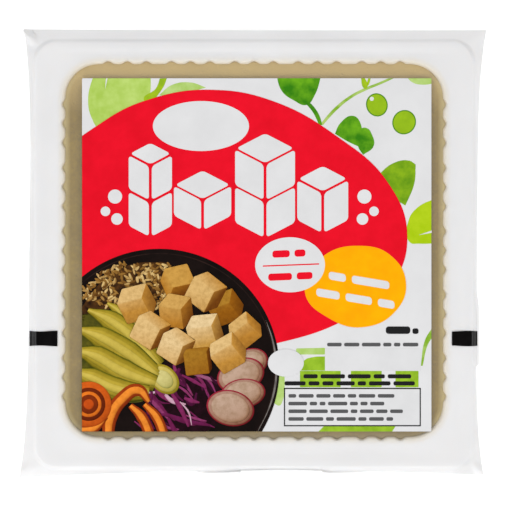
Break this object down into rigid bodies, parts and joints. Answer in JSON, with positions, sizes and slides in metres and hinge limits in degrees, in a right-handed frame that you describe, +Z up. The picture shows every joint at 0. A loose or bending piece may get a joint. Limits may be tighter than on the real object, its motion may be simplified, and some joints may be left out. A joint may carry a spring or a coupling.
{
  "type": "tofu pack",
  "caption": "Sealed pack of tofu: a block of bean curd in a square white tray with fluted walls, under clear printed lidding film.",
  "frame": {"origin": "middle of the pack's outline, on the surface that the tray's floor rests on", "axes": "+X to the pack's right and +Y to its back as its print is read from above, +Z up through the film"},
  "size_m": [0.146, 0.1402, 0.0325],
  "materials": {
    "tray_plastic": "satin white thermoformed polypropylene",
    "tofu": "moist pressed bean curd, cream, with small pores",
    "lidding_film": "clear glossy film with printed fields of colour"
  },
  "bodies": {
    "root": {"tray": "tray_plastic", "tofu_block": "tofu", "lid_film": "lidding_film"}
  },
  "joints": []
}
